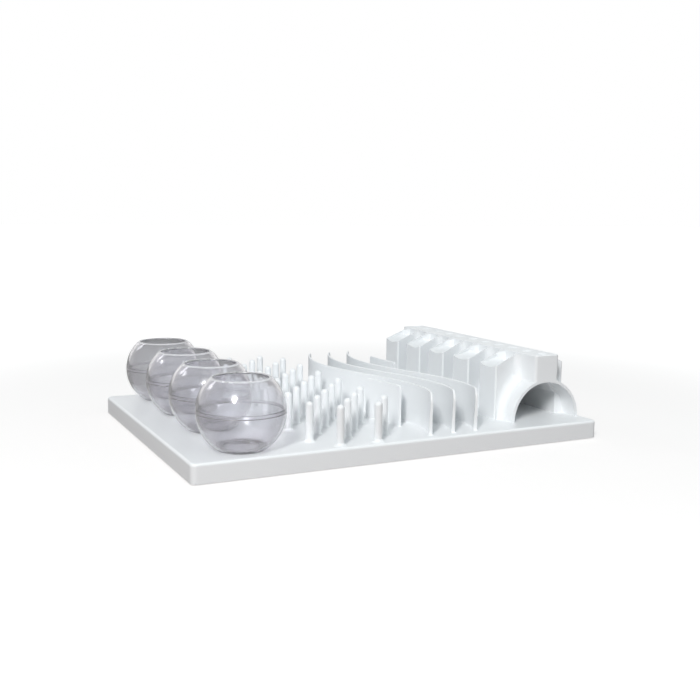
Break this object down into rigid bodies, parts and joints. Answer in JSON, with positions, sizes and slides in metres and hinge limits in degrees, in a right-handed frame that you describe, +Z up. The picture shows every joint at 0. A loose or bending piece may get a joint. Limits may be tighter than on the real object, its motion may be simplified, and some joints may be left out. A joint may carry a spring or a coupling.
{
  "type": "pet activity board",
  "caption": "Flat moulded tray with lift-off smoke-clear globes, a field of pegs, curved alley walls and a tunnel block with food scoops, for feeding play.",
  "frame": {"origin": "centre of the board, on the surface that its feet stand on", "axes": "+X along the board's width from the globes to the tunnel block, +Y from front to back, +Z up"},
  "size_m": [0.4, 0.311, 0.0795],
  "materials": {
    "white_plastic": "cool white moulded plastic, satin gloss",
    "clear_smoke": "clear smoke-tinted plastic, high gloss",
    "foot_rubber": "soft grey rubber",
    "screw_steel": "plain zinc-plated steel"
  },
  "bodies": {
    "board": {"board_tray": "white_plastic", "peg_column_1": "white_plastic", "peg_column_2": "white_plastic", "peg_column_3": "white_plastic", "peg_column_4": "white_plastic", "peg_column_5": "white_plastic", "alley_wall_1": "white_plastic", "alley_wall_2": "white_plastic", "alley_wall_3": "white_plastic", "front_guide_wall": "white_plastic", "back_guide_wall": "white_plastic", "tunnel_block": "white_plastic", "foot_front_left": "foot_rubber", "foot_front_right": "foot_rubber", "foot_back_left": "foot_rubber", "foot_back_right": "foot_rubber", "tunnel_screws": "screw_steel"},
    "globe_1": {"globe_1_lower": "clear_smoke", "globe_1_upper": "clear_smoke"},
    "globe_2": {"globe_2_lower": "clear_smoke", "globe_2_upper": "clear_smoke"},
    "globe_3": {"globe_3_lower": "clear_smoke", "globe_3_upper": "clear_smoke"},
    "globe_4": {"globe_4_lower": "clear_smoke", "globe_4_upper": "clear_smoke"}
  },
  "joints": [
    {"name": "globe_1_lift", "type": "slide", "parent": "board", "child": "globe_1", "axis": [0, 0, 1], "range_m": [0, 0.08]},
    {"name": "globe_2_lift", "type": "slide", "parent": "board", "child": "globe_2", "axis": [0, 0, 1], "range_m": [0, 0.08]},
    {"name": "globe_3_lift", "type": "slide", "parent": "board", "child": "globe_3", "axis": [0, 0, 1], "range_m": [0, 0.08]},
    {"name": "globe_4_lift", "type": "slide", "parent": "board", "child": "globe_4", "axis": [0, 0, 1], "range_m": [0, 0.08]}
  ]
}
